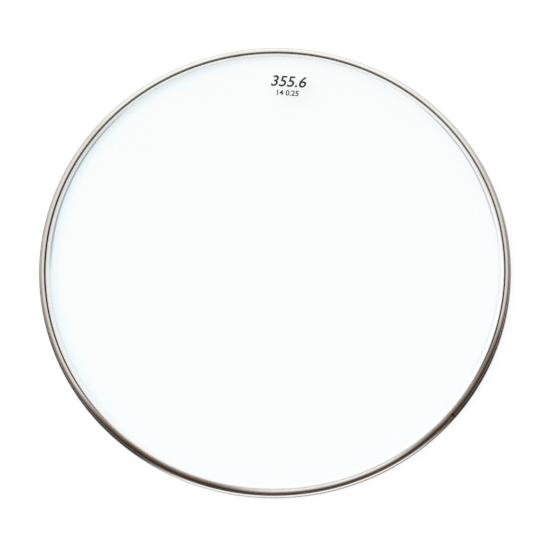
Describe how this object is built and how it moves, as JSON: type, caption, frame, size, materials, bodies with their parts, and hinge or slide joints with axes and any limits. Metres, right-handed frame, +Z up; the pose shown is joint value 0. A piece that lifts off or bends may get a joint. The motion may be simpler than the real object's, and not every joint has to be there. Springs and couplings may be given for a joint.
{
  "type": "drum head",
  "caption": "Clear drum head: a flat plastic film with a stepped collar, its slotted hem potted with resin in a rolled metal hoop that a rim pulls down over a drum shell.",
  "frame": {"origin": "middle of the hoop's underside, on the plane that the head lies on", "axes": "+Z up along the head's axis, out of the playing face; +Y towards the printed size mark; the hoop's seam is 37.4 degrees from +X towards -Y"},
  "size_m": [0.3684, 0.3684, 0.0124],
  "materials": {
    "clear_film": "clear polyester film, glossy both sides",
    "hoop_metal": "bright rolled aluminium strip",
    "potting_resin": "amber potting resin"
  },
  "bodies": {
    "root": {"film": "clear_film", "hoop_channel": "hoop_metal", "resin_ring": "potting_resin"}
  },
  "joints": []
}
